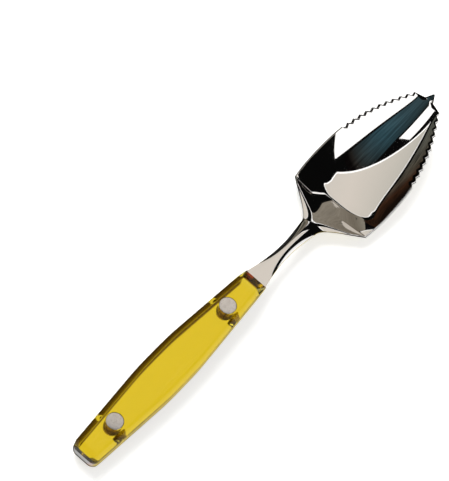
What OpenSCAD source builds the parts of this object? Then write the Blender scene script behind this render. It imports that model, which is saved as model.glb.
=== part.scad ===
// Grapefruit spoon: a steel stamping with a pointed, toothed bowl, and two
// clear scales riveted to its tang. Millimetres, z = 0 is the table top,
// +X runs from the butt of the handle to the point of the bowl.

/* [Overall] */
// length from the butt to the point
spoon_length = 165; // [150:1:180]
// angle at which the handle rises towards the bowl
handle_tilt = 2.2; // [0:0.1:5]

/* [Handle outline] */
// length of the scales and the tang between them
handle_length = 79.5; // [70:0.5:90]
// half width at the butt
butt_half = 4.4; // [4:0.05:4.7]
// half width at the widest place
waist_half = 6.6; // [6.4:0.05:8]
// half width at the front end
front_half = 3.9; // [3.8:0.05:4.2]
// distance from the butt to the widest place
waist_at = 37.5; // [34:0.5:42]
// radius of the side around the widest place
side_radius = 370; // [340:5:500]
// angle of the straight side between the butt and the widest place
rear_taper = 4; // [3.6:0.1:5]
// angle of the straight side between the widest place and the front end
front_taper = 4.5; // [4:0.1:5]
// plan radius of the butt corners
butt_corner = 1.9; // [0.5:0.1:3]

/* [Handle layers] */
// thickness of the upper scale
upper_thickness = 4; // [3:0.1:6]
// thickness of the steel tang
tang_thickness = 2; // [1.5:0.1:3]
// thickness of the lower scale
lower_thickness = 4; // [3:0.1:6]
// width of the bevel around the upper face
upper_bevel = 1.9; // [0.2:0.1:2.3]
// width of the bevel along the sides of the lower face
lower_bevel = 2.2; // [0.5:0.1:3]
// width of the bevel at the butt end of the lower face
lower_butt_bevel = 3.4; // [1:0.1:5]
// height of the bevel around the lower face
lower_bevel_rise = 3.3; // [0.5:0.1:3.8]
// run of the sloping front end of each scale
front_slope = 4.4; // [1:0.1:5]
// glue line between a scale and the tang
glue_line = 0.02; // [0.01:0.01:0.05]

/* [Rivets] */
// distance from the butt to the rear rivet
rear_rivet_at = 13.3; // [8:0.1:20]
// distance from the front end of the scales to the front rivet
front_rivet_setback = 14.6; // [9:0.1:28]
// diameter of a rivet head
rivet_head_diameter = 5.4; // [4:0.1:7]
// thickness of a rivet head
rivet_head_thickness = 1.2; // [0.8:0.1:2]
// outer diameter of the sleeve half
sleeve_diameter = 4; // [3:0.1:5]
// diameter of the pin half
pin_diameter = 2.4; // [1.6:0.1:3]
// radial clearance around the sleeve, the pin and the heads
rivet_clearance = 0.03; // [0.02:0.01:0.1]
// depth of the head below the face of its scale
head_recess = 0.03; // [0.01:0.01:0.1]
// length of the blind bore left free beyond the pin
pin_end_gap = 0.3; // [0.1:0.1:1]

/* [Neck] */
// half width of the steel where it leaves the scales
neck_root_half = 3.8; // [3:0.05:4.1]
// half width at the narrowest place
neck_half = 1.95; // [1.5:0.05:3]
// distance from the butt to the narrowest place
neck_at = 95; // [88:0.5:98]
// half width of the neck where it opens into the bowl
neck_end_half = 3.2; // [2:0.05:4]
// thickness at the narrowest place
neck_thickness = 2.9; // [2:0.1:4]
// height of the rounding across the upper face of the neck
neck_crown = 1.25; // [0:0.05:1.4]
// height of the rounding across the lower face of the neck
neck_belly = 0.7; // [0:0.1:1.5]
// distance from the butt to where the neck starts to dip into the bowl
dip_from = 86; // [82:0.5:95]
// distance from the butt to where the dip has its full slope
dip_steep_from = 112; // [106:0.5:116]
// distance from the butt to where the full slope ends
dip_steep_to = 121; // [118:0.5:122.5]
// distance from the butt to where the dip reaches the bowl floor
dip_to = 123; // [123:0.5:127]
// distance by which the end of the dip is bowed forward towards the sides
dip_bow = 2; // [0:0.1:3]
// distance from the butt to where the rim starts to leave the side of the neck
rim_from = 99; // [95:0.5:104]
// length over which the loft starts inside the tang
root_overlap = 1.5; // [0.5:0.1:3]
// step between the loft and the faces of the tang
root_step = 0.02; // [0.01:0.01:0.05]

/* [Bowl outline] */
// distance from the butt to the shoulders
shoulder_at = 117.2; // [110:0.1:125]
// half width at the shoulders
shoulder_half = 14.3; // [10:0.1:18]
// distance from the butt to the widest place of the bowl
bowl_at = 127; // [120:0.5:135]
// half width at the widest place
bowl_half = 15.1; // [12:0.1:18]
// length of the curve that narrows the bowl towards its point
nose_curve_length = 41; // [30:0.5:50]
// distance from the butt to the end of the teeth
nose_at = 161.7; // [150:0.1:163]
// distance from the butt to the root of the beak
beak_at = 162.8; // [160:0.1:164]
// half width at the root of the beak
beak_half = 1.75; // [0.5:0.05:3]
// half width of the blunted point
point_half = 0.2; // [0.1:0.05:0.5]
// distance from the butt to where the rear edges leave the neck
rear_from = 106; // [102:0.5:110]
// distance from the butt to where the neck has its full end width
neck_end_at = 110.5; // [104:0.5:116]

/* [Bowl heights] */
// slope of the rim from the shoulders back to the neck
rear_rise = 0.16; // [0:0.01:0.3]
// distance from the butt to where the flat pan behind the bowl ends
pan_to = 124; // [120:0.5:130]
// height of the rim at the shoulders
shoulder_height = 5; // [4:0.1:8]
// height of the rim where the teeth end
nose_height = 14.6; // [10:0.1:18]
// slope of the rim at the shoulders
rim_slope = 0.105; // [0:0.005:0.3]
// height of the point
point_height = 15.6; // [10:0.1:20]
// distance from the butt to where the floor starts to rise
floor_to = 126; // [120:0.5:132]
// sheet thickness in the middle of the bowl
sheet_thickness = 1.1; // [0.8:0.05:2]
// thickness of the rim
rim_thickness = 0.8; // [0.4:0.05:1.5]

/* [Teeth] */
// distance from the butt to the first tooth
teeth_from = 139; // [130:0.5:150]
// distance between teeth along the edge
tooth_pitch = 2.25; // [1.5:0.05:4]
// depth of the gaps between teeth
tooth_depth = 0.7; // [0.3:0.05:1.2]
// width of the ground bevel behind the teeth
grind_width = 1.3; // [0.5:0.1:3]
// edge thickness left by the grinding
grind_edge = 0.35; // [0.2:0.05:0.8]

/* [Colours] */
// colour of the steel
steel_colour = "silver";
// colour of the scales
scale_colour = "gold";
// colour of the rivets
rivet_colour = "lightgray";

/* [Hidden] */
$fn = 96;
// facets of the large side arcs, preview only
side_facets = 720;
// heights of the layers in the handle's own frame
tang_low = lower_thickness;
tang_high = lower_thickness + tang_thickness;
handle_high = tang_high + upper_thickness;
front_rivet_at = handle_length - front_rivet_setback;
// reach of a cutting body beyond the handle
reach = 2 * handle_length;
// share of its radius by which a butt corner passes the taper
corner_pass_share = 0.03;
// shifts that put the butt at x = 0 and the lower face on the table
butt_shift = (handle_high - upper_bevel) * sin(handle_tilt);
table_shift = -lower_butt_bevel * sin(handle_tilt);
// the tang's faces seen in the row frame
function tang_z(x, h) = table_shift + h / cos(handle_tilt)
    + (x - butt_shift) * tan(handle_tilt);

// shares of the half width at which a section has its points
upper_shares = [for (i = [0 : 10]) sin(90 * i / 10)];

function clamp(u) = min(1, max(0, u));
function ease(u) = clamp(u) * clamp(u) * (3 - 2 * clamp(u));
function mix(a, b, u) = a + (b - a) * u;

// outline of the steel in front of the handle, without teeth
function neck_outline(x) = x < neck_at
    ? neck_half + (neck_root_half - neck_half)
        * pow(1 - clamp((x - handle_length) / (neck_at - handle_length)), 2.3)
    : mix(neck_half, neck_end_half, ease((x - neck_at) / (neck_end_at - neck_at)));
// share of the rounded form in the rear edges, the rest being a parabola
rear_round_share = 0.45;
function rear_outline(x) = let (u = clamp((x - rear_from) / (shoulder_at - rear_from)))
    (shoulder_half - neck_end_half) * mix(u * u, ease(u), rear_round_share);
function bowl_outline(x) = x < bowl_at
    ? bowl_half - (bowl_half - shoulder_half) * pow((bowl_at - x) / (bowl_at - shoulder_at), 2)
    : bowl_half * (1 - pow((x - bowl_at) / nose_curve_length, 2.56));
nose_half = bowl_outline(nose_at);
function outline(x) =
    x <= shoulder_at ? neck_outline(x) + rear_outline(x)
    : x <= nose_at ? bowl_outline(x)
    : x <= beak_at ? mix(nose_half, beak_half, (x - nose_at) / (beak_at - nose_at))
    : mix(beak_half, point_half, (x - beak_at) / (spoon_length - beak_at));

// heights of the rim and of the floor's upper face
nose_run = nose_at - shoulder_at;
rim_bend = (nose_height - shoulder_height - rim_slope * nose_run) / (nose_run * nose_run);
function rim_height(x) = let (d = x - shoulder_at)
    shoulder_height + (d > 0 ? rim_slope * d + rim_bend * d * d : -rear_rise * d);
function floor_height(x) = sheet_thickness + (point_height - sheet_thickness)
    * pow(max(0, x - floor_to) / (spoon_length - floor_to), 1.78);
// the dip's slope grows evenly, keeps its full value and ends at the floor
function dip_run(x) =
    let (a = clamp((x - dip_from) / (dip_steep_from - dip_from)),
         b = clamp((x - dip_steep_from) / (dip_steep_to - dip_steep_from)),
         c = clamp((x - dip_steep_to) / (dip_to - dip_steep_to)))
    a * a / 2 * (dip_steep_from - dip_from) + b * (dip_steep_to - dip_steep_from)
    + (c - c * c / 2) * (dip_to - dip_steep_to);
function dip(x) = dip_run(x) / dip_run(dip_to);
// the dip is bowed forward towards the sides, t being the share of the half width
function bowed(x, t) = x - dip_bow * t * t * ease((x - rear_from) / (shoulder_at - rear_from));
function top_middle(x, t = 0) =
    mix(tang_z(bowed(x, t), tang_high) - root_step, floor_height(x), dip(bowed(x, t)));
function thickness(x) = x < neck_at
    ? mix(tang_thickness - 2 * root_step, neck_thickness,
          ease((x - handle_length) / (neck_at - handle_length)))
    : mix(neck_thickness, sheet_thickness, ease((x - neck_at) / (dip_to - neck_at)));
function swell(x) = ease((x - handle_length) / (neck_at - handle_length));
// the rim takes over from the neck's own edge along the rear edges
function rear_share(x) = ease((x - rim_from) / (shoulder_at - rim_from));
function top_edge(x) = x >= nose_at
    ? mix(nose_height, max(floor_height(x), nose_height), clamp((x - nose_at) / (beak_at - nose_at)))
    : mix(top_middle(x) - neck_crown * swell(x), rim_height(x), rear_share(x));
function edge_thickness(x) =
    mix(thickness(x) - (neck_crown + neck_belly) * swell(x), rim_thickness, rear_share(x));
// powers of the curve across the steel, from flat at its root to a parabola
root_power = 4;
neck_power = 2.2;
pan_power = 2.9;
bowl_power = 2;
function bend_power(x) =
    mix(mix(mix(root_power, neck_power, swell(x)), pan_power, rear_share(x)),
        bowl_power, ease((x - shoulder_at) / (pan_to - shoulder_at)));

// stations of the loft: even steps, then one per tooth tip and gap
function slope(x) = (outline(x + tooth_depth / 10) - outline(x)) * 10 / tooth_depth;
function steepness(x) = sqrt(1 + slope(x) * slope(x));
function tooth_marks(x) = x > nose_at - tooth_pitch / (4 * steepness(x)) ? [nose_at]
    : concat([x], tooth_marks(x + tooth_pitch / (2 * steepness(x))));
teeth = tooth_marks(teeth_from);
// counts of the even steps in the neck, the rear edges and the plain side
neck_steps = 13;
rear_steps = 12;
plain_steps = 18;
stations = concat(
    [for (i = [0 : neck_steps - 1])
        mix(handle_length - root_overlap, rear_from, i / neck_steps)],
    [for (i = [0 : rear_steps - 1])
        mix(rear_from, shoulder_at, i / rear_steps)],
    [for (i = [0 : plain_steps - 1]) mix(shoulder_at, teeth_from, i / plain_steps)],
    teeth, [mix(nose_at, beak_at, 0.5), beak_at, mix(beak_at, spoon_length, 0.5), spoon_length]);
first_tooth = neck_steps + rear_steps + plain_steps;
last_tooth = first_tooth + len(teeth) - 1;

// one closed section: over the upper face, and back under the lower one
function gap_depth(i) = i > first_tooth && i < last_tooth && (i - first_tooth) % 2 == 1
    ? tooth_depth * steepness(stations[i]) : 0;
function ground(i) = i >= first_tooth && i < last_tooth ? 1 : 0;
function section(i) =
    let (x = stations[i], w = outline(x), e = w - gap_depth(i), p = bend_power(x),
         ze = top_edge(x), th = thickness(x),
         be = ze - edge_thickness(x), g = ground(i), n = len(upper_shares) - 1,
         ys = [for (k = [0 : n]) k < n ? upper_shares[k] * (w - grind_width * g) : e])
    concat([for (k = [-n : n])
                let (t = ys[abs(k)] / w)
                [x, ys[abs(k)] * sign(k), mix(top_middle(x, t), ze, pow(t, p))]],
           [for (k = [n : -1 : -n])
                let (y = ys[abs(k)], t = y / w, zm = top_middle(x, t),
                     zu = mix(zm, ze, pow(t, p)), zl = mix(zm - th, be, pow(t, p)))
                [x, y * sign(k), g == 1 && abs(k) == n ? zu - grind_edge : zl]]);

ring = 4 * len(upper_shares) - 2;
loft_points = [for (i = [0 : len(stations) - 1]) each section(i)];
last_ring = ring * (len(stations) - 1);
loft_faces = concat(
    [for (i = [0 : len(stations) - 2]) for (k = [0 : ring - 1])
        let (a = i * ring + k, b = i * ring + (k + 1) % ring) each
        [[a, b, a + ring], [b, b + ring, a + ring]]],
    [for (k = [0 : ring / 2 - 2]) each
        [[k, ring - 1 - k, k + 1], [k + 1, ring - 1 - k, ring - 2 - k]]],
    [for (k = [0 : ring / 2 - 2]) let (a = last_ring + k, b = last_ring + ring - 1 - k) each
        [[a, a + 1, b], [a + 1, b - 1, b]]]);

// a straight side through a point of the handle's outline
module side_bar(at, half, angle, profile)
    translate([at, half, 0]) rotate([0, 0, angle]) translate([-reach, 0, 0])
        rotate([90, 0, 90]) linear_extrude(2 * reach) polygon(profile);

// low and high: heights; run and rise: the bevel; up: true if it is on top
function edge_profile(back, low, high, run, rise, up) = [
    [back, low], [up ? 0 : -run, low], [0, up ? low : low + rise],
    [0, up ? high - rise : high], [up ? -run : 0, high], [back, high]];

// one side: two straight tapers and the arc around the widest place
module one_side(low, high, run, rise, up) {
    profile = edge_profile(-side_radius, low, high, run, rise, up);
    intersection() {
        side_bar(0, butt_half, rear_taper, profile);
        side_bar(handle_length, front_half, -front_taper, profile);
        translate([waist_at, waist_half - side_radius, 0])
            rotate_extrude($fn = side_facets) translate([side_radius, 0]) polygon(profile);
    }
}

// plan with rounded butt corners, whose circles cross the tapers cleanly
module plan(low, high) {
    corner_y = butt_half + butt_corner * (tan(rear_taper) + corner_pass_share - 1);
    translate([0, 0, low]) linear_extrude(high - low) union() {
        translate([butt_corner, -reach]) square([handle_length - butt_corner, 2 * reach]);
        translate([0, -corner_y]) square([butt_corner + glue_line, 2 * corner_y]);
        for (s = [-1, 1]) translate([butt_corner, s * corner_y]) circle(butt_corner);
    }
}

// one layer of the handle with its bevels, in the handle's own frame
module layer(low, high, run, rise, up, slope_run, butt_run) {
    intersection() {
        one_side(low, high, run, rise, up);
        mirror([0, 1, 0]) one_side(low, high, run, rise, up);
        plan(low, high);
        translate([0, reach, 0]) rotate([90, 0, 0]) linear_extrude(2 * reach)
            polygon([[up ? 0 : butt_run, low], [handle_length - (up ? 0 : slope_run), low],
                     [handle_length - (up ? slope_run : 0), high], [up ? butt_run : 0, high],
                     [0, up ? high - rise : high], [0, up ? low : low + rise]]);
    }
}

module in_handle() translate([butt_shift - spoon_length / 2, 0, table_shift])
    rotate([0, -handle_tilt, 0]) children();

module hole(at, diameter, low, high)
    translate([at, 0, low]) cylinder(d = diameter, h = high - low);

module tang() {
    difference() {
        layer(tang_low, tang_high, 0, 0, true, 0, 0);
        for (at = [rear_rivet_at, front_rivet_at])
            hole(at, sleeve_diameter + 2 * rivet_clearance, -reach, reach);
    }
}

module bowl_and_tang() color(steel_colour) {
    union() {
        in_handle() tang();
        translate([-spoon_length / 2, 0, 0]) polyhedron(loft_points, loft_faces);
    }
}

module scale_holes(face_low, face_high) {
    for (at = [rear_rivet_at, front_rivet_at]) {
        hole(at, sleeve_diameter + 2 * rivet_clearance, -reach, reach);
        hole(at, rivet_head_diameter + 2 * rivet_clearance, face_low, face_high);
    }
}

// depth of the pocket that takes a head
pocket_depth = head_recess + rivet_head_thickness + rivet_clearance;

module upper_scale() color(scale_colour, 0.6) in_handle() {
    difference() {
        layer(tang_high + glue_line, handle_high, upper_bevel, upper_bevel, true,
              front_slope, upper_bevel);
        scale_holes(handle_high - pocket_depth, reach);
    }
}

module lower_scale() color(scale_colour, 0.6) in_handle() {
    difference() {
        layer(0, tang_low - glue_line, lower_bevel, lower_bevel_rise, false,
              front_slope, lower_butt_bevel);
        scale_holes(-reach, pocket_depth);
    }
}

// heights of the rivet parts in the handle's own frame
pin_top = handle_high - head_recess;
sleeve_top = pin_top - rivet_head_thickness - rivet_clearance;
pin_end = head_recess + rivet_head_thickness + pin_end_gap;
bore_end = pin_end - pin_end_gap;

module rivet_pin(at) in_handle() translate([at, 0, 0]) union() {
    translate([0, 0, pin_top - rivet_head_thickness])
        cylinder(d = rivet_head_diameter, h = rivet_head_thickness);
    translate([0, 0, pin_end]) cylinder(d = pin_diameter, h = pin_top - pin_end);
}

module rivet_sleeve(at) in_handle() translate([at, 0, 0]) difference() {
    union() {
        translate([0, 0, head_recess])
            cylinder(d = rivet_head_diameter, h = rivet_head_thickness);
        translate([0, 0, head_recess])
            cylinder(d = sleeve_diameter, h = sleeve_top - head_recess);
    }
    translate([0, 0, bore_end])
        cylinder(d = pin_diameter + 2 * rivet_clearance, h = handle_high);
}

module front_rivet_pin() color(rivet_colour) rivet_pin(front_rivet_at);
module front_rivet_sleeve() color(rivet_colour) rivet_sleeve(front_rivet_at);
module rear_rivet_pin() color(rivet_colour) rivet_pin(rear_rivet_at);
module rear_rivet_sleeve() color(rivet_colour) rivet_sleeve(rear_rivet_at);

bowl_and_tang();
upper_scale();
lower_scale();
front_rivet_pin();
front_rivet_sleeve();
rear_rivet_pin();
rear_rivet_sleeve();
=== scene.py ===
# Grapefruit spoon: a mirror polished steel stamping with a toothed, pointed bowl,
# and two clear yellow scales riveted to its tang. Metres, X to the point of the
# bowl, z = 0 the table. Working sizes below are millimetres, x from the butt.
import math
import bmesh
import bpy
import numpy as np
from mathutils import Matrix, Vector


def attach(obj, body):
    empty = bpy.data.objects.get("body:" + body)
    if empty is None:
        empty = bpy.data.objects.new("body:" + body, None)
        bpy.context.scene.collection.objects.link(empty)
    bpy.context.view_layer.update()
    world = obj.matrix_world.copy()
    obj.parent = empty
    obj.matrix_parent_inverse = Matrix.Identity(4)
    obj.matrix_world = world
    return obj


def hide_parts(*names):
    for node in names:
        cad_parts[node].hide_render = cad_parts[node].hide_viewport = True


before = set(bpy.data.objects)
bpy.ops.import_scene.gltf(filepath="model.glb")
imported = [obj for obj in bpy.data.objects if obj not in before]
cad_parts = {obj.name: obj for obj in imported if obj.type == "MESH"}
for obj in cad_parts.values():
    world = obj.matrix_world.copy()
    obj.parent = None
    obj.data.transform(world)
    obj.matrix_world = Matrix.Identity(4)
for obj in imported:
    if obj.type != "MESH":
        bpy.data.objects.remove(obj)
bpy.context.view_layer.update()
scene = bpy.context.scene
scene.view_settings.view_transform = "Standard"
mm = 0.001
sharpAngle = math.radians(35)


def ease(u):
    # smooth step: 3u^2 - 2u^3 between 0 and 1, flat outside
    u = np.clip(u, 0.0, 1.0)
    return u * u * (3 - 2 * u)


def mix(a, b, u):
    # straight blend from a to b
    return a + (b - a) * u


def softMin(a, b, k):
    # smaller of two curves, -k log(e^(-a/k) + e^(-b/k)): its corner is rounded over
    # about k
    return -k * np.logaddexp(-a / k, -b / k)


def column(values):
    # one value for each ring, stood up to be spread over the ring's points
    return values[:, None]


def mirroredRing(y, z):
    # half a section followed by its mirror image, so that point k lies across from
    # point ring - 1 - k
    return np.hstack([y, -y[:, ::-1]]), np.hstack([z, z[:, ::-1]])


def addPiece(name, verts, faces, material, nodes):
    # one mesh from arrays, riding on the spoon
    mesh = bpy.data.meshes.new(name)
    mesh.from_pydata(verts * mm, [], faces)
    mesh.validate()
    mesh.shade_smooth()
    mesh.materials.append(material)
    piece = bpy.data.objects.new(name, mesh)
    scene.collection.objects.link(piece)
    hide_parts(*nodes)
    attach(piece, "root")
    return piece


def tidyMesh(piece, distance=1e-7):
    # merges doubled points in the middle lines and at the poles, turns the faces
    # outwards and shades smooth apart from the real edges
    bm = bmesh.new()
    bm.from_mesh(piece.data)
    bmesh.ops.remove_doubles(bm, verts=bm.verts, dist=distance)
    bmesh.ops.dissolve_degenerate(bm, edges=bm.edges, dist=distance)
    bmesh.ops.recalc_face_normals(bm, faces=bm.faces)
    bm.to_mesh(piece.data)
    bm.free()
    piece.data.set_sharp_from_angle(angle=sharpAngle)


def ringFaces(rows, ring, start=0):
    # quads between successive closed rings of equal length
    i = np.arange(rows - 1)[:, None] * ring
    k = np.arange(ring)[None, :]
    a, b = i + k, i + (k + 1) % ring
    quads = np.stack([a, a + ring, b + ring, b], -1).reshape(-1, 4)
    return (quads + start).tolist()


def capFaces(ring, start, flip):
    # closes a ring whose point k lies across from point ring - 1 - k
    k = np.arange(ring // 2 - 1)
    quads = np.stack([k, k + 1, ring - 2 - k, ring - 1 - k], -1) + start
    return (quads[:, ::-1] if flip else quads).tolist()


def barFaces(rows, ring, start=0):
    # the side faces of a bar of rings and the caps on its two ends
    return (ringFaces(rows, ring, start) + capFaces(ring, start, False)
            + capFaces(ring, start + (rows - 1) * ring, True))


# Handle: outline, layers and place, the edges of the tang and of the two scales,
# and the rows and steps of their meshes
handle = dict(
    length=165.0, scaleLength=79.5, tilt=math.radians(2.2), inset=0.01,
    buttHalf=4.4, waistHalf=6.6, frontHalf=3.9, waistAt=37.5, sideRadius=370.0,
    rearTaper=math.radians(4.0), frontTaper=math.radians(4.5), buttCorner=1.9, blend=0.05,
    lower=4.0, tang=2.0, upper=4.0, glue=0.02, tangEdge=0.08, seamEdge=0.05,
    frontSlope=4.4, frontEnd=0.12, crease=0.3, upperCrease=0.06, lowerCrease=0.05,
    upperBevel=1.9, upperFullness=1.6, lowerBevel=2.2, lowerFullness=1.7, lowerRise=1.5,
    lowerButtBevel=3.4, lowerButtRise=3.3,
    tangRows=(12, 60), cornerPast=0.5, scaleRows=(16, 5, 70, 9, 24), buttPast=0.8, bunch=1.5,
    tangSteps=3, upperSteps=12, lowerSteps=10)
# Bars: the share of a section that its edges may take, and the narrow borders
# beside them that keep the shading of the flats even
bar = dict(fit=0.98, riseLimit=0.9, borderFrom=0.25, border=0.2, sideBorder=0.1)


def sideHalf(x):
    # half width: two straight tapers and the arc between them, corners blended
    h = handle
    rear = h["buttHalf"] + x * math.tan(h["rearTaper"])
    front = h["frontHalf"] + (h["scaleLength"] - x) * math.tan(h["frontTaper"])
    arc = h["waistHalf"] - h["sideRadius"] + np.sqrt(
        h["sideRadius"] ** 2 - (x - h["waistAt"]) ** 2)
    half = softMin(softMin(rear, arc, h["blend"]), front, h["blend"])
    # rounded butt corner: a quarter circle of radius buttCorner
    r = h["buttCorner"]
    back = np.clip(r - x, 0, r)
    return half - (r - np.sqrt(r * r - back * back))


def placeHandle(x, y, z):
    # turn the handle's own frame up by its tilt, x cos - z sin and x sin + z cos,
    # and set its butt on the table
    h = handle
    c, s = math.cos(h["tilt"]), math.sin(h["tilt"])
    high = h["lower"] + h["tang"] + h["upper"]
    buttShift = (high - h["upperBevel"]) * s - h["length"] / 2 + h["inset"]
    tableShift = -h["lowerButtBevel"] * s
    return np.stack([buttShift + x * c - z * s, y + 0 * x, tableShift + x * s + z * c], -1)


def spread(a, b, count, bunch=1.0):
    # count places from a to b, bunched towards a when bunch is above 1
    return a + (b - a) * np.linspace(0, 1, count) ** bunch


def roundedBar(x, half, low, high, edgeLow, edgeHigh, steps, fullness=1.0, rise=1.0,
               fullnessHigh=1.0):
    # rings along x: a rectangle of half width and low..high with rounded edges,
    # edgeLow and edgeHigh wide; the low ones are rise times as high; they follow
    # |sin|^fullness, from a quarter ellipse at 1 towards a flat bevel at 2
    x, half, low, high = np.broadcast_arrays(x, half, low, high)
    room = np.minimum(half, (high - low) / 2) * bar["fit"]
    rl, rh = np.minimum(edgeLow, room), np.minimum(edgeHigh, room)
    lift = np.minimum(rl * rise, (high - low) * bar["riseLimit"])
    border = column(np.minimum(half, bar["borderFrom"])) * bar["border"]
    half, low, high, rl, rh, lift = [column(v) for v in (half, low, high, rl, rh, lift)]
    a = np.linspace(0, math.pi / 2, steps)[None, :]
    flatHigh, flatLow = half - rh, half - rl
    # right half of the section from the top middle down to the bottom middle
    y = np.hstack([
        0 * half, flatHigh / 2, flatHigh - border,
        flatHigh + rh * np.sin(a) ** fullnessHigh, half, half,
        flatLow + rl * np.cos(a) ** fullness, flatLow - border, flatLow / 2])
    z = np.hstack([
        high, high, high, high - rh + rh * np.cos(a) ** fullnessHigh,
        high - rh - border * bar["sideBorder"], low + lift + border * bar["sideBorder"],
        low + lift - lift * np.sin(a) ** fullness, low, low])
    y, z = mirroredRing(y, z)
    return placeHandle(np.repeat(column(x), y.shape[1], 1), y, z)


# Camera: the photograph's viewpoint, from its fitted distance and axes; target and
# distance are millimetres
camera = dict(target=(4.66, 16.38, -0.4), distance=1113.2, lens=275.9, sensor=36,
              near=0.05, far=20, right=(0.6267, -0.7474, 0.2208),
              up=(0.6250, 0.6513, 0.4305), forward=(0.4655, 0.1318, -0.8752))


def addCamera():
    c = camera
    data = bpy.data.cameras.new("photoCamera")
    obj = bpy.data.objects.new("photoCamera", data)
    scene.collection.objects.link(obj)
    forward = Vector(c["forward"])
    place = Vector(c["target"]) - forward * c["distance"]
    rows = [(r, u, -f, p * mm) for r, u, f, p in zip(c["right"], c["up"], forward, place)]
    obj.matrix_world = Matrix((*rows, (0, 0, 0, 1)))
    data.lens, data.sensor_width = c["lens"], c["sensor"]
    data.clip_start, data.clip_end = c["near"], c["far"]
    scene.camera = obj


# Steel: neck, bowl, teeth and beak
steel = dict(
    length=165.0, root=79.5, overlap=1.5, sink=0.02, rootHalf=3.8, neckHalf=1.95, neckAt=95.0,
    neckCurve=2.3, neckThick=2.9, endHalf=3.2, endAt=110.5, crown=1.25, belly=0.7,
    rearFrom=106.0, roundShare=0.45, shoulderAt=117.2, shoulderHalf=14.3, shoulderHeight=5.0,
    bowlAt=127.0, bowlHalf=15.1, noseCurve=41.0, eggPower=2.56, noseAt=161.7, noseHeight=14.6,
    beakAt=162.8, beakHalf=1.75, pointHalf=0.2, pointHeight=15.6, rimSlope=0.105, rearRise=0.16,
    dipFrom=86.0, steepFrom=112.0, steepTo=121.0, dipTo=123.0, bow=2.0, floorTo=126.0,
    floorPower=1.78, shareFrom=99.0, panTo=124.0, rootPower=4.0, neckPower=2.2, panPower=2.9,
    bowlPower=2.0, sheet=1.1, rim=0.8, rimLeast=0.1, rimBulge=0.12,
    teethFrom=139.0, toothPitch=2.25, toothDepth=0.7, toothSamples=4000, toothSteep=2.5)
# Its mesh: points across the upper face, across the lip and round the rim, rows
# along it, and the faces painted dark as shade on the left and right lip and under
# the rim
weave = dict(across=40, lip=0.32, lipShare=0.3, lipSteps=3, rimSteps=5, neckRows=60,
             rearRows=110, toothStep=0.14, beakRows=12, shadeLeft=3, shadeRight=10, shadeRim=3)


def steelOutline(x):
    # half width in front of the scales: the neck narrows by a power curve and
    # widens again by a smooth step, the rear edges blend u^2 with that step, the
    # bowl is a parabola and then 1 - u^eggPower, and the beak two straight tapers
    s = steel
    neck = np.where(
        x < s["neckAt"],
        s["neckHalf"] + (s["rootHalf"] - s["neckHalf"]) * (
            1 - np.clip((x - s["root"]) / (s["neckAt"] - s["root"]), 0, 1)) ** s["neckCurve"],
        mix(s["neckHalf"], s["endHalf"], ease((x - s["neckAt"]) / (s["endAt"] - s["neckAt"]))))
    u = np.clip((x - s["rearFrom"]) / (s["shoulderAt"] - s["rearFrom"]), 0, 1)
    neck = neck + (s["shoulderHalf"] - s["endHalf"]) * mix(u * u, ease(u), s["roundShare"])
    side = np.where(
        x < s["bowlAt"],
        s["bowlHalf"] - (s["bowlHalf"] - s["shoulderHalf"]) * (
            (s["bowlAt"] - x) / (s["bowlAt"] - s["shoulderAt"])) ** 2,
        s["bowlHalf"] * (1 - np.clip((x - s["bowlAt"]) / s["noseCurve"], 0, 1)
                         ** s["eggPower"]))
    noseHalf = s["bowlHalf"] * (
        1 - ((s["noseAt"] - s["bowlAt"]) / s["noseCurve"]) ** s["eggPower"])
    beak = np.where(
        x < s["beakAt"],
        mix(noseHalf, s["beakHalf"], (x - s["noseAt"]) / (s["beakAt"] - s["noseAt"])),
        mix(s["beakHalf"], s["pointHalf"], (x - s["beakAt"]) / (s["length"] - s["beakAt"])))
    return np.where(x <= s["shoulderAt"], neck, np.where(x <= s["noseAt"], side, beak))


def tangTop(x):
    # height of the tang's upper face above the table: a straight line at the
    # handle's tilt, carried on into the neck
    h = handle
    high = h["lower"] + h["tang"] + h["upper"]
    shift = (high - h["upperBevel"]) * math.sin(h["tilt"])
    return (-h["lowerButtBevel"] * math.sin(h["tilt"])
            + (h["lower"] + h["tang"]) / math.cos(h["tilt"]) + (x - shift) * math.tan(h["tilt"]))


def dipShare(x):
    # share of the fall from the neck to the bowl floor: a parabola whose slope
    # grows, a straight line, and a short parabola that ends level
    s = steel
    spans = [s["dipFrom"], s["steepFrom"], s["steepTo"], s["dipTo"]]
    total = (spans[1] - spans[0]) / 2 + spans[2] - spans[1] + (spans[3] - spans[2]) / 2
    a, b, c = [np.clip((x - low) / (high - low), 0, 1) for low, high in zip(spans, spans[1:])]
    return (a * a / 2 * (spans[1] - spans[0]) + b * (spans[2] - spans[1])
            + (c - c * c / 2) * (spans[3] - spans[2])) / total


def bowlFloor(x):
    # height of the bowl's middle line: sheet thickness, then a power curve up to
    # the point
    s = steel
    return s["sheet"] + (s["pointHeight"] - s["sheet"]) * (
        np.clip(x - s["floorTo"], 0, None) / (s["length"] - s["floorTo"])) ** s["floorPower"]


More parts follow.
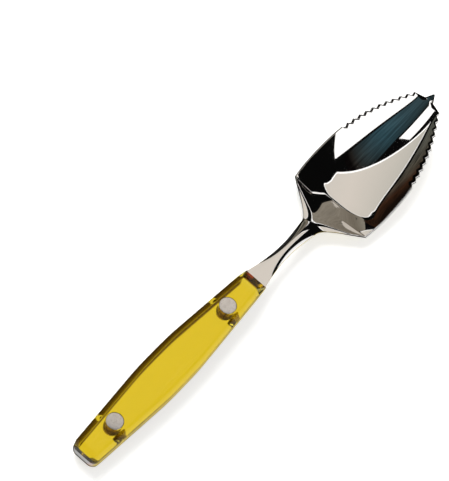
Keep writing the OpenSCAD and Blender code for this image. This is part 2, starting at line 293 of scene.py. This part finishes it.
def steelHeights(x):
    # heights of the upper face in the middle, which falls from the tang to the
    # bowl floor, and at the edge, where the rim rises by a line and a parabola;
    # with the thickness under each, the section's power and how far it is a bowl
    s = steel
    run = s["noseAt"] - s["shoulderAt"]
    bend = (s["noseHeight"] - s["shoulderHeight"] - s["rimSlope"] * run) / run ** 2
    d = x - s["shoulderAt"]
    rim = s["shoulderHeight"] + np.where(
        d > 0, s["rimSlope"] * d + bend * d * d, -s["rearRise"] * d)
    floor = bowlFloor(x)
    middle = mix(tangTop(x) - s["sink"], floor, dipShare(x))
    swell = ease((x - s["root"]) / (s["neckAt"] - s["root"]))
    thick = np.where(
        x < s["neckAt"],
        mix(handle["tang"] - 2 * s["sink"], s["neckThick"], swell),
        mix(s["neckThick"], s["sheet"], ease((x - s["neckAt"]) / (s["dipTo"] - s["neckAt"]))))
    share = ease((x - s["shareFrom"]) / (s["shoulderAt"] - s["shareFrom"]))
    noseShare = np.clip((x - s["noseAt"]) / (s["beakAt"] - s["noseAt"]), 0, 1)
    edge = np.where(
        x >= s["noseAt"],
        mix(s["noseHeight"], np.maximum(floor, s["noseHeight"]), noseShare),
        mix(middle - s["crown"] * swell, rim, share))
    edgeThick = mix(thick - (s["crown"] + s["belly"]) * swell, s["rim"], share)
    power = mix(mix(s["rootPower"], s["neckPower"], swell), s["panPower"], share)
    pan = ease((x - s["shoulderAt"]) / (s["panTo"] - s["shoulderAt"]))
    return middle, edge, thick, edgeThick, mix(power, s["bowlPower"], pan), share


def toothWave(x):
    # triangle wave, 0 at the tips and 1 in the gaps, by length along the edge; and
    # that length for each millimetre of x
    s = steel
    fine = np.linspace(s["teethFrom"], s["noseAt"], s["toothSamples"])
    slope = np.gradient(steelOutline(fine), fine)
    along = np.concatenate([[0], np.cumsum(np.sqrt(1 + slope[1:] ** 2) * np.diff(fine))])
    count = round(along[-1] / s["toothPitch"])
    q = np.interp(x, fine, along) / along[-1] * count
    wave = 1 - np.abs(2 * (q - np.floor(q)) - 1)
    inside = (x > s["teethFrom"]) & (x < s["noseAt"])
    return np.where(inside, wave, 0.0), np.interp(x, fine, np.sqrt(1 + slope ** 2))


def bowedMiddle(x, t):
    # the middle height seen at t of the way out: the fall from the neck is bowed
    # forward by bow t^2, so that the foot of the rear wall is a curve
    s = steel
    back = x - s["bow"] * ease((x - s["rearFrom"]) / (s["shoulderAt"] - s["rearFrom"])) * t * t
    return mix(tangTop(back) - s["sink"], bowlFloor(x), dipShare(back))


def steelRings(x):
    # closed sections: the upper face follows z = middle + (edge - middle) t^p,
    # the lower face lies one thickness under it, and the rim is cut square to
    # the wall
    s, w = steel, weave
    middle, edge, thick, edgeThick, p, share = steelHeights(x)
    full = steelOutline(x)
    wave, steep = toothWave(x)
    half = full - s["toothDepth"] * wave * np.minimum(steep, s["toothSteep"])
    wall = np.arctan2(p * (edge - middle), full)
    tilt = np.sin(np.clip(wall, 0, None)) * share
    rimIn = column(half - edgeThick * tilt)
    rimFull = column(full - edgeThick * tilt)
    # columns over the upper face, the last ones across a narrow lip along the rim
    t = np.sin(np.linspace(0, math.pi / 2, w["across"] - w["lipSteps"]))[None, :]
    lip = np.minimum(w["lip"], w["lipShare"] * rimIn)
    yUp = np.hstack([(rimIn - lip) * t, rimIn - lip * np.linspace(
        1 - 1 / w["lipSteps"], 0, w["lipSteps"])])
    middleUp = bowedMiddle(column(x), yUp / rimIn)
    zUp = middleUp + (column(edge) - middleUp) * np.abs(yUp / rimFull) ** column(p)
    # the cut rim: a straight line from edge to edge with a slight bulge
    topEdge = zUp[:, -1]
    outZ = edge - edgeThick * np.cos(np.arcsin(np.clip(tilt, 0, 1)))
    lowEdge = np.minimum(outZ + (topEdge - edge), topEdge - s["rimLeast"])
    a = np.linspace(0, math.pi, w["rimSteps"] + 2)[None, 1:-1]
    down, bulge = (1 - np.cos(a)) / 2, s["rimBulge"] * np.sin(a)
    yRim = mix(rimIn, column(half), down) + bulge * column(np.cos(wall * share))
    zRim = mix(column(topEdge), column(lowEdge), down) + bulge * column(tilt)
    yRim = np.minimum(yRim, column(full))
    zRim = np.minimum(zRim, column(np.maximum(edge, topEdge)))
    # the lower face, back to the middle
    t = np.sin(np.linspace(math.pi / 2, 0, w["across"]))[None, :]
    middleLow = bowedMiddle(column(x), t) - column(thick)
    yLow = column(half) * t
    zLow = middleLow + (column(lowEdge) - middleLow) * (yLow / column(half)) ** column(p)
    y, z = mirroredRing(np.hstack([yUp, yRim, yLow]), np.hstack([zUp, zRim, zLow]))
    xs = np.repeat(column(x) - s["length"] / 2, y.shape[1], 1)
    return np.stack([xs, y, z], -1)


def tangRings():
    # the flat tang between the scales, a plate with slightly eased edges
    h = handle
    x = np.concatenate([
        spread(0, h["buttCorner"], h["tangRows"][0]),
        np.linspace(h["buttCorner"] + h["cornerPast"], h["scaleLength"], h["tangRows"][1])])
    return roundedBar(x, sideHalf(x), h["lower"], h["lower"] + h["tang"], h["tangEdge"],
                      h["tangEdge"], h["tangSteps"])


def steelStations():
    # rows along the neck and bowl, close together along the teeth
    s, w = steel, weave
    return np.concatenate([
        np.linspace(s["root"] - s["overlap"], s["rearFrom"], w["neckRows"])[:-1],
        np.linspace(s["rearFrom"], s["teethFrom"], w["rearRows"])[:-1],
        np.arange(s["teethFrom"], s["noseAt"], w["toothStep"]),
        np.linspace(s["noseAt"], s["beakAt"], w["beakRows"])[:-1],
        np.linspace(s["beakAt"], s["length"], w["beakRows"])])


def addSteel(material, tangMaterial, shadeLipMaterial):
    # tang, neck and bowl as one piece in three materials: two finishes and a painted
    # shade on the lip and under the rim
    s, w = steel, weave
    tang, stations = tangRings(), steelStations()
    bowl = steelRings(stations)
    verts = np.concatenate([tang.reshape(-1, 3), bowl.reshape(-1, 3)])
    faces = barFaces(*tang.shape[:2])
    tangFaces = len(faces)
    faces += barFaces(*bowl.shape[:2], start=tang.shape[0] * tang.shape[1])
    piece = addPiece("steelBody", verts, faces, material, ["bowl_and_tang"])
    piece.data.materials.append(tangMaterial)
    piece.data.materials.append(shadeLipMaterial)
    slots = np.zeros(len(faces), np.int32)
    slots[:tangFaces] = 1
    # painted shade on the lip along the teeth and the beak, and on the lower edge of
    # the rim, both counted in faces round the ring
    ring = bowl.shape[1]
    left = w["across"] - 2 - np.arange(w["shadeLeft"])
    right = ring - w["across"] + np.arange(w["shadeRight"])
    under = w["across"] + w["rimSteps"] - 1 - np.arange(w["shadeRim"])
    for start, columns in ((s["teethFrom"], np.concatenate([left, right])),
                           (s["rearFrom"], np.concatenate([under, ring - 2 - under]))):
        rows = np.flatnonzero(stations[:-1] > start)
        slots[(tangFaces + rows[:, None] * ring + columns[None, :]).ravel()] = 2
    piece.data.polygons.foreach_set("material_index", slots)
    tidyMesh(piece)


def scaleRings(upper):
    # one scale: a bar that slopes in a straight line to the tang at its front end
    # and is bevelled at its butt, the two joined by softMin
    h = handle
    bevel = h["upperBevel"] if upper else h["lowerBevel"]
    slope = h["frontSlope"]
    slopeAt = h["scaleLength"] - slope
    marks = [bevel, h["buttCorner"] + h["buttPast"], slopeAt - h["crease"],
             slopeAt + h["crease"], h["scaleLength"] - h["frontEnd"]]
    rows = h["scaleRows"]
    x = np.concatenate(
        [spread(0, bevel, rows[0], h["bunch"])]
        + [np.linspace(a, b, count)[1:] for a, b, count in zip(marks, marks[1:], rows[1:])])
    front = np.clip(x - slopeAt, 0, None)
    if upper:
        # butt bevel of the same form as the sides: a superellipse
        power = 2 / h["upperFullness"]
        back = np.clip(1 - x / bevel, 0, 1)
        drop = bevel * (1 - np.clip(1 - back ** power, 0, 1) ** (1 / power))
        low = h["lower"] + h["tang"] + h["glue"]
        high = h["lower"] + h["tang"] + h["upper"]
        top = softMin(high - drop, high - front * (high - low) / slope, h["upperCrease"])
        return roundedBar(x, sideHalf(x), low, top, h["seamEdge"], bevel, h["upperSteps"],
                          fullnessHigh=h["upperFullness"])
    high = h["lower"] - h["glue"]
    back = np.clip(1 - x / h["lowerButtBevel"], 0, 1) * h["lowerButtRise"]
    bottom = -softMin(-back, -front * high / slope, h["lowerCrease"])
    bottom = bottom - h["lowerCrease"] * math.log(2)
    return roundedBar(x, sideHalf(x), bottom, high, bevel, h["seamEdge"], h["lowerSteps"],
                      fullness=h["lowerFullness"], rise=h["lowerRise"])


# Rivets: a pin in a sleeve, each with a flush head
rivet = dict(rearAt=13.3, frontAt=64.9, headHalf=2.7, headThick=1.2, sleeveHalf=2.0,
             pinHalf=1.2, pinFrom=1.6, boreHalf=1.23, boreFrom=1.25, clearance=0.03,
             recess=0.03, eased=0.22, dome=0.06, passing=1.0, turns=96, rimSteps=6,
             faceSteps=7, weld=2e-6)


def latheRivet(profile, at):
    # a profile of (radius, height) turned about the rivet's axis: radius times the
    # cosine and the sine of the angle
    profile = np.array(profile)
    angle = np.linspace(0, 2 * math.pi, rivet["turns"], endpoint=False)
    x = at + profile[:, :1] * np.cos(angle)
    y = profile[:, :1] * np.sin(angle)
    z = np.repeat(profile[:, 1:], rivet["turns"], 1)
    return placeHandle(x, y, z)


def boreCutter(at, upper):
    # the stepped hole for one rivet through a scale, as a solid to cut it with
    h, r = handle, rivet
    wide, narrow = r["headHalf"] + r["clearance"], r["sleeveHalf"] + r["clearance"]
    step = r["headThick"] + r["recess"] + r["clearance"]
    tangLow, high = h["lower"], h["lower"] + h["tang"] + h["upper"]
    if upper:
        profile = [[0, high + r["passing"]], [wide, high + r["passing"]], [wide, high - step],
                   [narrow, high - step], [narrow, tangLow], [0, tangLow]]
    else:
        top = tangLow + h["tang"]
        profile = [[0, top], [narrow, top], [narrow, step], [wide, step],
                   [wide, -r["passing"]], [0, -r["passing"]]]
    grid = latheRivet(profile, at)
    mesh = bpy.data.meshes.new("bore")
    mesh.from_pydata(grid.reshape(-1, 3) * mm, [], ringFaces(*grid.shape[:2]))
    cutter = bpy.data.objects.new("bore", mesh)
    scene.collection.objects.link(cutter)
    tidyMesh(cutter)
    return cutter


def cutBores(piece, upper):
    # takes the two rivet holes out of a scale and keeps the result as its mesh
    cutters = [boreCutter(rivet[place], upper) for place in ("rearAt", "frontAt")]
    for cutter in cutters:
        cut = piece.modifiers.new("bore", "BOOLEAN")
        cut.object, cut.operation, cut.solver = cutter, "DIFFERENCE", "EXACT"
    bored = bpy.data.meshes.new_from_object(
        piece.evaluated_get(bpy.context.evaluated_depsgraph_get()))
    piece.modifiers.clear()
    piece.data = bored
    for cutter in cutters:
        bpy.data.objects.remove(cutter)
    tidyMesh(piece, rivet["weld"])


def addScale(name, upper, material, node):
    # one scale with its two stepped holes
    rings = scaleRings(upper)
    piece = addPiece(name, rings.reshape(-1, 3), barFaces(*rings.shape[:2]), material,
                     [node])
    tidyMesh(piece)
    cutBores(piece, upper)


def headProfile(face, inner, outward):
    # a flush head: a face that drops with radius^2, a quarter circle round the rim
    # and a straight side
    r = rivet
    a = np.linspace(0, math.pi / 2, r["rimSteps"])
    flat = np.linspace(0, r["headHalf"] - r["eased"], r["faceSteps"])
    dome = face - outward * r["dome"] * (flat / flat[-1]) ** 2
    rim = np.stack([r["headHalf"] - r["eased"] + r["eased"] * np.sin(a),
                    face - outward * (r["dome"] + r["eased"] * (1 - np.cos(a)))], -1)
    side = [[r["headHalf"], face - outward * r["headThick"]]]
    return np.concatenate([np.stack([flat, dome], -1), rim[1:], side, inner])


def addTurned(name, profile, at, material, node):
    # one half of a rivet
    grid = latheRivet(profile, at)
    piece = addPiece(name, grid.reshape(-1, 3), ringFaces(*grid.shape[:2]), material,
                     [node])
    tidyMesh(piece)


def addRivets(material):
    # two pins, each in a sleeve, their heads let into the two scales
    h, r = handle, rivet
    pinTop = h["lower"] + h["tang"] + h["upper"] - r["recess"]
    under = pinTop - r["headThick"]
    end = under - r["clearance"]
    pin = headProfile(pinTop, [[r["pinHalf"], under], [r["pinHalf"], r["pinFrom"]],
                               [0, r["pinFrom"]]], 1)[::-1]
    sleeve = headProfile(r["recess"], [
        [r["sleeveHalf"], r["recess"] + r["headThick"]], [r["sleeveHalf"], end],
        [r["boreHalf"], end], [r["boreHalf"], r["boreFrom"]], [0, r["boreFrom"]]], -1)
    for place in ("rear", "front"):
        at = r[place + "At"]
        addTurned(place + "RivetPin", pin, at, material, place + "_rivet_pin")
        addTurned(place + "RivetSleeve", sleeve, at, material, place + "_rivet_sleeve")


# Materials
def newMaterial(name):
    material = bpy.data.materials.new(name)
    material.use_nodes = True
    nodes, links = material.node_tree.nodes, material.node_tree.links
    return material, nodes, links


def noiseField(nodes, links, size, stretch=(1, 1, 1), detail=3.0):
    # fractal noise on object coordinates, features about size metres across
    place = nodes.new("ShaderNodeTexCoord")
    squeeze = nodes.new("ShaderNodeMapping")
    squeeze.inputs["Scale"].default_value = stretch
    links.new(place.outputs["Object"], squeeze.inputs["Vector"])
    noise = nodes.new("ShaderNodeTexNoise")
    noise.inputs["Scale"].default_value = 1 / size
    noise.inputs["Detail"].default_value = detail
    links.new(squeeze.outputs[0], noise.inputs["Vector"])
    return noise.outputs["Fac"]


# The part of the noise's range that it mostly keeps to
noiseRun = dict(low=0.3, high=0.7)


def spreadOver(nodes, links, value, low, high):
    # the noise's usual run taken to low and high
    span = nodes.new("ShaderNodeMapRange")
    for name, number in (("From Min", noiseRun["low"]), ("From Max", noiseRun["high"]),
                         ("To Min", low), ("To Max", high)):
        span.inputs[name].default_value = number
    links.new(value, span.inputs["Value"])
    return span.outputs[0]


def fillRamp(nodes, links, value, stops):
    # a colour ramp over value, each of its stops a place and a colour
    ramp = nodes.new("ShaderNodeValToRGB")
    elements = ramp.color_ramp.elements
    while len(elements) < len(stops):
        elements.new(0.5)
    for element, (position, colour) in zip(elements, stops):
        element.position, element.color = position, (*colour, 1)
    links.new(value, ramp.inputs[0])
    return ramp.outputs[0]


def addRelief(nodes, links, shader, heights):
    # bumps one after another, each a noise and its depth in metres
    last = None
    for value, depth in heights:
        bump = nodes.new("ShaderNodeBump")
        bump.inputs["Strength"].default_value = 1.0
        bump.inputs["Distance"].default_value = depth
        links.new(value, bump.inputs["Height"])
        if last:
            links.new(last, bump.inputs["Normal"])
        last = bump.outputs[0]
    links.new(last, shader.inputs["Normal"])


# Metals: a mirror polish with fine lines along it and a faint swell of the pressed
# sheet; the ground and polished plate under the scales; a near-black painted shade
# along the lip of the teeth and under the rim; and heads ground flush, grey clouds
# over a satin face
metals = dict(
    polishedSteel=dict(colour=(0.78, 0.76, 0.74), grain=0.0004, stretch=(0.12, 1, 1),
                       rough=(0.015, 0.05), depth=1e-7, swell=(0.009, 5e-6)),
    brightTang=dict(colour=(0.86, 0.85, 0.83), grain=0.0005, stretch=(0.1, 1, 1),
                    rough=(0.06, 0.13), depth=2e-7),
    # painted shade: near-black steel for the lip of the teeth and the lower edge of the rim
    paintedShadeLip=dict(colour=(0.016, 0.015, 0.014), grain=0.0002, rough=(0.2, 0.4), depth=1e-6),
    satinRivet=dict(clouds=((0.66, 0.63, 0.61), (0.76, 0.73, 0.71)), cloudSize=0.0012,
                    grain=0.0003, rough=(0.24, 0.4), depth=1e-6))
swellStretch = (0.7, 1, 1)


def metal(name, grain, rough, depth, colour=None, clouds=None, cloudSize=None,
          stretch=(1, 1, 1), swell=None):
    # a metal with an uneven roughness and a fine grain, in one colour or clouded
    # between two, over a slow swell (its size and its depth)
    material, nodes, links = newMaterial(name)
    shader = nodes["Principled BSDF"]
    shader.inputs["Metallic"].default_value = 1.0
    if colour:
        shader.inputs["Base Color"].default_value = (*colour, 1)
    else:
        tone = fillRamp(nodes, links, noiseField(nodes, links, cloudSize),
                        list(zip(noiseRun.values(), clouds)))
        links.new(tone, shader.inputs["Base Color"])
    fine = noiseField(nodes, links, grain, stretch)
    links.new(spreadOver(nodes, links, fine, *rough), shader.inputs["Roughness"])
    relief = [(fine, depth)]
    if swell:
        relief = [(noiseField(nodes, links, swell[0], swellStretch, 1.0), swell[1])] + relief
    addRelief(nodes, links, shader, relief)
    return material


acrylic = dict(colour=(1, 0.98, 0.9, 1), ior=1.49, tint=(0.6, 0.55, 0.3, 1), haze=0.002,
               rough=(0.0, 0.03), swell=0.012, stretch=(0.5, 1, 1), depth=1.5e-5,
               depthColour=(0.975, 0.91, 0.014, 1), density=400)


def clearAcrylic():
    # clear cast plastic, yellow through its depth, its faces barely uneven
    material, nodes, links = newMaterial("clearAcrylic")
    shader = nodes["Principled BSDF"]
    a = acrylic
    shader.inputs["Base Color"].default_value = a["colour"]
    shader.inputs["IOR"].default_value = a["ior"]
    shader.inputs["Specular Tint"].default_value = a["tint"]
    shader.inputs["Transmission Weight"].default_value = 1.0
    haze = noiseField(nodes, links, a["haze"])
    swell = noiseField(nodes, links, a["swell"], a["stretch"], 1.0)
    links.new(spreadOver(nodes, links, haze, *a["rough"]), shader.inputs["Roughness"])
    addRelief(nodes, links, shader, [(swell, a["depth"])])
    tint = nodes.new("ShaderNodeVolumeAbsorption")
    tint.inputs["Color"].default_value = a["depthColour"]
    tint.inputs["Density"].default_value = a["density"]
    links.new(tint.outputs[0], nodes["Material Output"].inputs["Volume"])
    return material


# Studio: bright and dim panels on a level sheet above the bowl, each given by its
# corners in metres from the point over the bowl, for the steel to mirror or the
# plastic to let through. A ramp is the places where it starts and ends, and then
# its stops; cross is a second ramp that dims the first
studio = dict(above=(0.05, 0.0, 0.01), height=1.0, streakSize=0.04,
              streakStretch=(0.15, 1, 0.4), streakDetail=6.0)
panels = dict(
    softbox=dict(
        corners=[(-0.52, 1.05), (0.72, 1.56), (1.38, -0.02), (0.37, -0.46)], near=0.5,
        rays="mirrored", ramp=[(0.9, -0.4), (-0.5, 1.1), (0.0, (0.79, 0.75, 0.685)),
                               (0.35, (0.84, 0.78, 0.705)), (1.0, (0.62, 0.605, 0.545))]),
    softboxFrame=dict(
        corners=[(-0.56, 1.06), (0.74, 1.61), (1.43, -0.04), (0.36, -0.5)], near=0.505,
        rays="mirrored", colour=(1.5, 1.5, 1.5)),
    lightThrough=dict(
        corners=[(-0.52, 1.05), (0.72, 1.56), (1.38, 0.1), (1.2, -0.6), (-0.23, -0.6),
                 (-0.23, 0.4)], near=0.5, rays="through",
        ramp=[(0.0, -0.5), (0.0, 0.0), (0.0, (0.06, 0.036, 0.015)),
              (0.35, (0.11, 0.07, 0.03)), (0.72, (0.3, 0.22, 0.12)),
              (0.86, (0.93, 0.87, 0.79))]),
    sideWindow=dict(
        corners=[(-0.9, -0.43), (0.32, -0.88), (0.33, -2.3), (-0.9, -2.3)],
        colour=(1.5, 1.5, 1.5)),
    backWindow=dict(
        corners=[(-0.95, 0.47), (-0.3, 0.2), (-0.34, 0.57), (-0.7, 0.93), (-0.95, 1.12)],
        colour=(1.5, 1.5, 1.5)),
    tealWall=dict(
        corners=[(-0.9, -0.385, 1.05), (0.2, -0.775, 1.05), (0.25, 0.1, 1.05),
                 (-0.3, 0.14, 1.05), (-0.9, 0.385, 1.05)], streak=0.5, rays="mirrored",
        ramp=[(0.15, 0.0), (-0.9, 0.0), (0.0, (0.004, 0.003, 0.003)),
              (0.05, (0.02, 0.018, 0.016)), (0.15, (0.03, 0.042, 0.045)),
              (0.38, (0.035, 0.084, 0.107)), (1.0, (0.047, 0.07, 0.078))],
        cross=[(0.0, -0.6), (-0.1, 0.3), (0.0, (0.8, 0.8, 0.8)), (0.45, (1.1, 1.1, 1.1)),
               (1.0, (0.35, 0.3, 0.28))]),
    warmCard=dict(
        corners=[(-0.75, -0.25), (-0.2, -0.25), (-0.2, 0.5), (-0.75, 0.5)], near=0.52,
        rays="through", colour=(0.34, 0.22, 0.12)),
    farWall=dict(
        corners=[(-0.8, 1.14), (0.9, 1.8), (1.4, 1.5), (1.4, 3.6), (-0.9, 3.4)], streak=0.85,
        ramp=[(-0.7, 1.4), (1.0, 2.6), (0.0, (0.1, 0.105, 0.09)),
              (0.35, (0.075, 0.066, 0.05)), (0.65, (0.042, 0.018, 0.009)),
              (1.0, (0.01, 0.006, 0.004))]),
    lowPanel=dict(
        corners=[(1.6, 1.2), (1.6, 2.6), (4.5, 2.6), (4.5, 0.8)],
        colour=(0.1, 0.095, 0.075)),
    lowWall=dict(
        corners=[(2.6, 0.2, 0.0), (2.6, 3.2, 0.0), (2.6, 3.2, 3.0), (2.6, 1.0, 1.6),
                 (2.6, 0.2, 1.18)], streak=0.2,
        ramp=[(2.6, 0.2, 1.3), (2.6, 2.0, 0.3), (0.0, (0.3, 0.27, 0.22)),
              (0.5, (0.2, 0.172, 0.135)), (1.0, (0.29, 0.265, 0.215))]),
    frontWindow=dict(
        corners=[(2.6, -2.2, 1.05), (2.6, 0.2, 1.19), (2.6, 1.0, 1.61), (2.6, 1.0, 1.66),
                 (2.6, 0.2, 1.24), (2.6, -2.2, 1.4)], colour=(1.3, 1.3, 1.3)),
    nearWall=dict(
        corners=[(-2.5, -2.4, 0.0), (2.5, -2.4, 0.0), (2.5, -2.4, 0.8), (-2.5, -2.4, 0.8)],
        colour=(1.1, 1.1, 1.1)))


def cornerPlace(corner, near):
    # a corner on the sheet, drawn near times its distance to the point over the
    # bowl, or at its own height above the table
    cx, cy, cz = studio["above"]
    level = corner[2] if len(corner) > 2 else cz + studio["height"] * near
    return Vector((cx + corner[0] * near, cy + corner[1] * near, level))


def alongRamp(nodes, links, spec, near):
    # a colour that runs from one point of the sheet to another through its stops
    start, stop = cornerPlace(spec[0], near), cornerPlace(spec[1], near)
    run = (stop - start) / (stop - start).length_squared
    place = nodes.new("ShaderNodeTexCoord")
    share = nodes.new("ShaderNodeVectorMath")
    share.operation = "DOT_PRODUCT"
    share.inputs[1].default_value = run
    links.new(place.outputs["Object"], share.inputs[0])
    shift = nodes.new("ShaderNodeMath")
    shift.operation = "SUBTRACT"
    shift.inputs[1].default_value = start.dot(run)
    links.new(share.outputs["Value"], shift.inputs[0])
    return fillRamp(nodes, links, shift.outputs[0], spec[2:])


def blend(nodes, links, how, first, second):
    # two colours put together whole, by multiplying or by the lighter of them
    both = nodes.new("ShaderNodeMix")
    both.data_type, both.blend_type = "RGBA", how
    both.inputs[0].default_value = 1.0
    links.new(first, both.inputs[6])  # 6 and 7 are the colour sockets A and B
    links.new(second, both.inputs[7])
    return both.outputs[2]  # the colour result


def addPanel(name, corners, colour=None, ramp=None, cross=None, streak=0, near=1.0,
             rays="both"):
    # a glowing polygon: one colour or a ramp, crossed by a second ramp, and
    # streaked by stretched noise; it shows in the steel, through the plastic or both
    mesh = bpy.data.meshes.new(name)
    mesh.from_pydata([cornerPlace(c, near) for c in corners], [], [tuple(range(len(corners)))])
    material, nodes, links = newMaterial(name)
    nodes.clear()
    out = nodes.new("ShaderNodeOutputMaterial")
    glow = nodes.new("ShaderNodeEmission")
    if colour:
        glow.inputs["Color"].default_value = (*colour, 1)
    else:
        tone = alongRamp(nodes, links, ramp, near)
        if cross:
            tone = blend(nodes, links, "MULTIPLY", tone, alongRamp(nodes, links, cross, near))
        links.new(tone, glow.inputs["Color"])
    if streak:
        noise = noiseField(nodes, links, studio["streakSize"], studio["streakStretch"],
                           studio["streakDetail"])
        links.new(spreadOver(nodes, links, noise, 1 - streak, 1 + streak), glow.inputs["Strength"])
    links.new(glow.outputs[0], out.inputs["Surface"])
    mesh.materials.append(material)
    obj = bpy.data.objects.new(name, mesh)
    scene.collection.objects.link(obj)
    obj.visible_camera = obj.visible_diffuse = obj.visible_shadow = False
    obj.visible_transmission = rays != "mirrored"
    obj.visible_glossy = rays != "through"


# Lamps: a broad key from the far side for the soft shadow and a weak fill; metres
# and watts
lamps = dict(
    key=dict(place=(0.3, 0.8, 1.5), size=1.0, power=24, colour=(1, 0.98, 0.95)),
    fill=dict(place=(-0.9, -0.9, 1.2), size=1.2, power=6, colour=(0.97, 0.98, 1)))


def addLamp(name, place, size, power, colour):
    # a round lamp that faces the middle of the spoon and isn't mirrored itself
    data = bpy.data.lights.new(name, "AREA")
    data.shape, data.size, data.energy, data.color = "DISK", size, power, colour
    obj = bpy.data.objects.new(name, data)
    obj.location = place
    obj.rotation_euler = (-Vector(place)).to_track_quat("-Z", "Y").to_euler()
    obj.visible_glossy = obj.visible_transmission = obj.visible_camera = False
    scene.collection.objects.link(obj)


def pathMix(nodes, links, ray, off, on):
    # shader on for the named kind of ray, and off for the others
    path = nodes.new("ShaderNodeLightPath")
    pick = nodes.new("ShaderNodeMixShader")
    links.new(path.outputs[ray], pick.inputs[0])
    links.new(off, pick.inputs[1])
    links.new(on, pick.inputs[2])
    return pick.outputs[0]


# Floor: metres; across is a ramp over y from acrossFrom to acrossTo, with a painted
# shadow strip and a painted yellow glow beside the handle, and light and dark are
# the least that the steel mirrors of it at buttFrom and buttTo
floor = dict(
    size=3.0, colour=(0.8, 0.8, 0.8, 1), glow=0.55, warm=(1, 0.995, 0.965, 1),
    light=0.9, dark=0.03, buttFrom=-0.088, buttTo=-0.08, acrossFrom=-0.05, acrossTo=0.01,
    # across: white far off on the near side, a painted shadow strip nearer, a painted yellow glow
    # of light through the plastic beside the handle, dark on the far side
    across=[(0.15, (1.3, 1.3, 1.3)), (0.45, (0.08, 0.08, 0.08)), (0.6, (0.1, 0.09, 0.07)),
            (0.66, (0.62, 0.5, 0.17)), (0.78, (0.62, 0.5, 0.17)), (0.9, (0.03, 0.03, 0.03))])


def addFloor():
    # white sweep: its own light lifts it to white for the camera and its diffuse
    # part keeps the object's shadow; mirrored and through the plastic it is white
    # further off on the near side, with a painted shadow strip nearer the object, a
    # painted yellow glow of light through the plastic beside the handle and dark
    # elsewhere, and mirrored it is light behind the butt too
    f = floor
    mesh = bpy.data.meshes.new("floor")
    size = f["size"]
    mesh.from_pydata([(-size, -size, 0), (size, -size, 0), (size, size, 0), (-size, size, 0)],
                     [], [(0, 1, 2, 3)])
    material, nodes, links = newMaterial("floor")
    nodes.clear()
    out = nodes.new("ShaderNodeOutputMaterial")
    diffuse = nodes.new("ShaderNodeBsdfDiffuse")
    diffuse.inputs["Color"].default_value = f["colour"]
    glow = nodes.new("ShaderNodeEmission")
    glow.inputs["Color"].default_value = f["warm"]
    glow.inputs["Strength"].default_value = f["glow"]
    lit = nodes.new("ShaderNodeAddShader")
    links.new(diffuse.outputs[0], lit.inputs[0])
    links.new(glow.outputs[0], lit.inputs[1])
    place = nodes.new("ShaderNodeTexCoord")
    parts = nodes.new("ShaderNodeSeparateXYZ")
    links.new(place.outputs["Object"], parts.inputs[0])
    spans = {}
    for axis, edge, low, high in (("Y", "across", 0, 1), ("X", "butt", f["light"], f["dark"])):
        fall = nodes.new("ShaderNodeMapRange")
        for name, number in (("From Min", f[edge + "From"]), ("From Max", f[edge + "To"]),
                             ("To Min", low), ("To Max", high)):
            fall.inputs[name].default_value = number
        links.new(parts.outputs[axis], fall.inputs["Value"])
        spans[edge] = fall.outputs[0]
    # painted shadow strip and painted yellow glow, for the steel to mirror and the plastic to show
    shadowAndGlowStrip = fillRamp(nodes, links, spans["across"], f["across"])
    mirrored, through = nodes.new("ShaderNodeEmission"), nodes.new("ShaderNodeEmission")
    links.new(blend(nodes, links, "LIGHTEN", shadowAndGlowStrip, spans["butt"]), mirrored.inputs["Color"])
    links.new(shadowAndGlowStrip, through.inputs["Color"])
    seen = pathMix(nodes, links, "Is Camera Ray", diffuse.outputs[0], lit.outputs[0])
    seen = pathMix(nodes, links, "Is Glossy Ray", seen, mirrored.outputs[0])
    seen = pathMix(nodes, links, "Is Transmission Ray", seen, through.outputs[0])
    links.new(seen, out.inputs["Surface"])
    mesh.materials.append(material)
    obj = bpy.data.objects.new("floor", mesh)
    scene.collection.objects.link(obj)


room = dict(dim=(0.003, 0.003, 0.003, 1), brown=(0.07, 0.048, 0.02, 1),
            soft=(0.32, 0.32, 0.33, 1), white=(1, 1, 1, 1))


def addWorld():
    # a dim room, brown through the plastic, soft for the shadows and white where
    # the camera looks at it
    world = bpy.data.worlds.new("studio")
    scene.world = world
    world.use_nodes = True
    nodes, links = world.node_tree.nodes, world.node_tree.links
    nodes["Background"].inputs["Color"].default_value = room["dim"]
    seen = nodes["Background"].outputs[0]
    for ray, colour in (("Transmission", "brown"), ("Diffuse", "soft"), ("Camera", "white")):
        light = nodes.new("ShaderNodeBackground")
        light.inputs["Color"].default_value = room[colour]
        seen = pathMix(nodes, links, "Is " + ray + " Ray", seen, light.outputs[0])
    links.new(seen, nodes["World Output"].inputs["Surface"])


addCamera()
print("camera set")
steels = {name: metal(name, **values) for name, values in metals.items()}
plastic = clearAcrylic()
addSteel(steels["polishedSteel"], steels["brightTang"], steels["paintedShadeLip"])
print("steel made")
addScale("upperScale", True, plastic, "upper_scale")
addScale("lowerScale", False, plastic, "lower_scale")
print("scales made")
addRivets(steels["satinRivet"])
print("rivets made")
addFloor()
addWorld()
for name, panel in panels.items():
    addPanel(name, **panel)
for name, lamp in lamps.items():
    addLamp(name, **lamp)
print("studio set")
